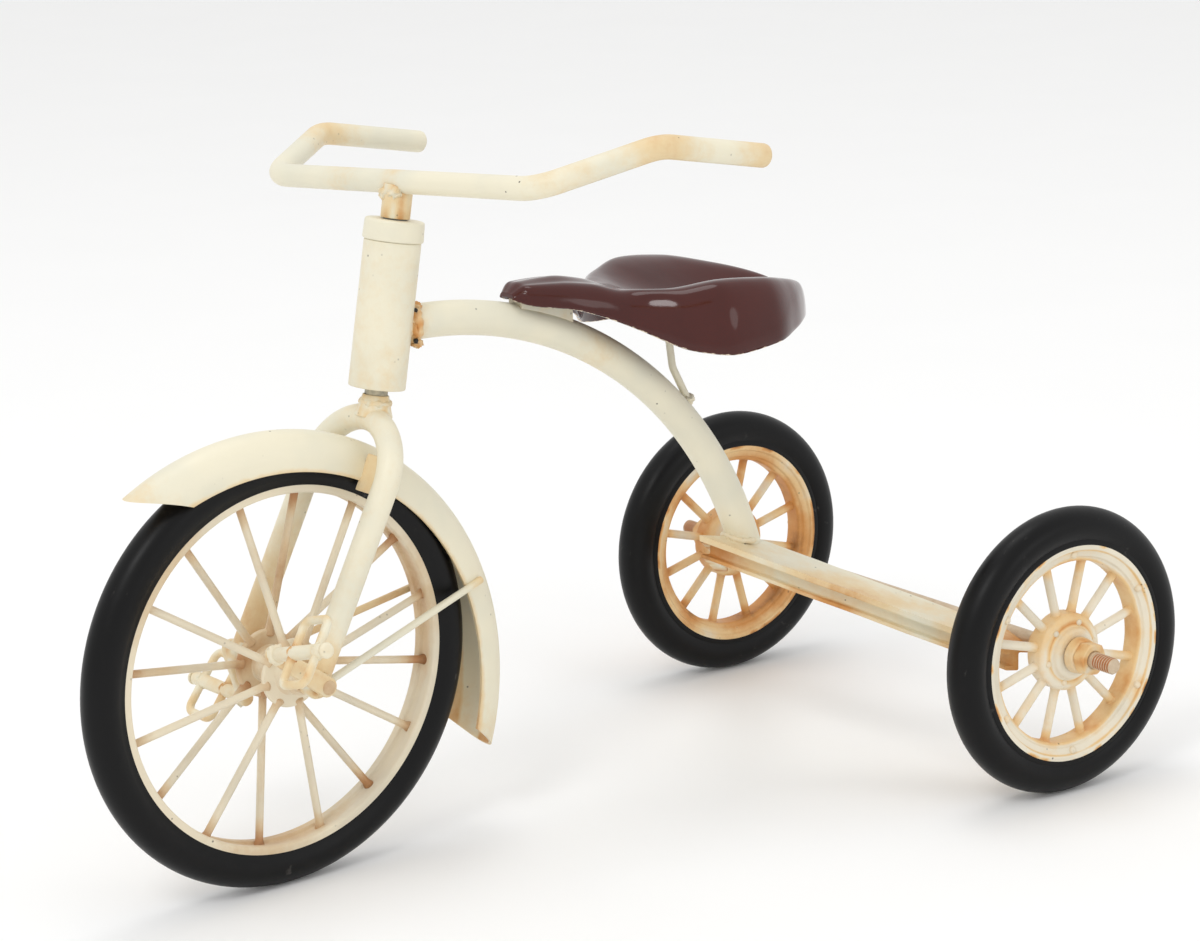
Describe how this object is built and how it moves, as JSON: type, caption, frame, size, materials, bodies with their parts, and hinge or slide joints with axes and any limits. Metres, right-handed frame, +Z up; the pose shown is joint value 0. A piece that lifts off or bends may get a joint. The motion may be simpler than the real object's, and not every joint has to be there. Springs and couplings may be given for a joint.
{
  "type": "tricycle",
  "caption": "Old-style tricycle with a bent backbone tube, spoked front wheel with cranks and pedals, mudguard, bow handlebar, saddle and swept rear yoke on cast wheels.",
  "frame": {"origin": "on the floor under the middle of the bounding box", "axes": "+X to the rider's left, +Y to the back, so the front wheel is at -Y; +Z up"},
  "size_m": [0.1646, 0.2592, 0.168],
  "materials": {
    "cream": "satin ivory paint with orange-brown shading at the joints",
    "spoke_cream": "satin ivory paint, shaded orange-brown",
    "wheel_cream": "satin ivory paint over casting, shaded orange",
    "tyre": "black satin rubber",
    "seat_brown": "glossy dark brown enamel on sheet metal",
    "axle_steel": "plain steel with thin worn paint",
    "steerer_grey": "bare grey steel, weld scale"
  },
  "bodies": {
    "frame": {"head_tube": "cream", "head_collar": "cream", "backbone_tube": "cream", "backbone_weld": "cream", "yoke_arm_left": "cream", "yoke_arm_right": "cream", "rear_axle": "axle_steel", "axle_spacer_inner_left": "cream", "axle_spacer_inner_right": "cream", "axle_spacer_outer_left": "cream", "axle_spacer_outer_right": "cream", "axle_nut_left": "axle_steel", "axle_nut_right": "axle_steel", "seat_pan": "seat_brown", "seat_tab": "cream", "seat_strut": "cream"},
    "steering": {"steerer": "steerer_grey", "crown_weld": "cream", "fork_tube": "cream", "fork_end_left": "cream", "fork_end_right": "cream", "stem_sleeve": "cream", "handlebar": "cream", "fender": "cream", "fender_tabs": "cream", "fender_stay_left": "cream", "fender_stay_right": "cream"},
    "front_wheel": {"front_tyre": "tyre", "front_rim": "spoke_cream", "front_hub": "spoke_cream", "front_spokes_left": "spoke_cream", "front_spokes_right": "spoke_cream", "crank_axle": "cream", "crank_arm_left": "cream", "crank_arm_right": "cream", "pedal_pin_left": "cream", "pedal_pin_right": "cream"},
    "pedal_left": {"pedal_tube_left": "cream", "pedal_loop_left": "cream"},
    "pedal_right": {"pedal_tube_right": "cream", "pedal_loop_right": "cream"},
    "rear_left": {"rear_tyre_left": "tyre", "rear_wheel_left": "wheel_cream", "rear_rivets_left": "wheel_cream"},
    "rear_right": {"rear_tyre_right": "tyre", "rear_wheel_right": "wheel_cream", "rear_rivets_right": "wheel_cream"}
  },
  "joints": [
    {"name": "steering_turn", "type": "hinge", "parent": "frame", "child": "steering", "pos_m": [0, -0.051, 0.109], "axis": [0, 0.1736, 0.9848], "range_deg": [-49.04, 40.96]},
    {"name": "front_wheel_spin", "type": "hinge", "parent": "steering", "child": "front_wheel", "pos_m": [0.00058, -0.0798, 0.05], "axis": [0.9975, 0.0694, -0.0122], "continuous": true},
    {"name": "pedal_left_spin", "type": "hinge", "parent": "front_wheel", "child": "pedal_left", "pos_m": [0.02109, -0.0919, 0.0601], "axis": [0.9622, 0.0668, 0.2639], "continuous": true},
    {"name": "pedal_right_spin", "type": "hinge", "parent": "front_wheel", "child": "pedal_right", "pos_m": [-0.01924, -0.0781, 0.03791], "axis": [-0.9975, -0.0694, 0.0122], "continuous": true},
    {"name": "rear_left_spin", "type": "hinge", "parent": "frame", "child": "rear_left", "pos_m": [0.06475, 0.095, 0.0345], "axis": [1, 0, 0], "continuous": true},
    {"name": "rear_right_spin", "type": "hinge", "parent": "frame", "child": "rear_right", "pos_m": [-0.06475, 0.095, 0.0345], "axis": [1, 0, 0], "continuous": true}
  ]
}
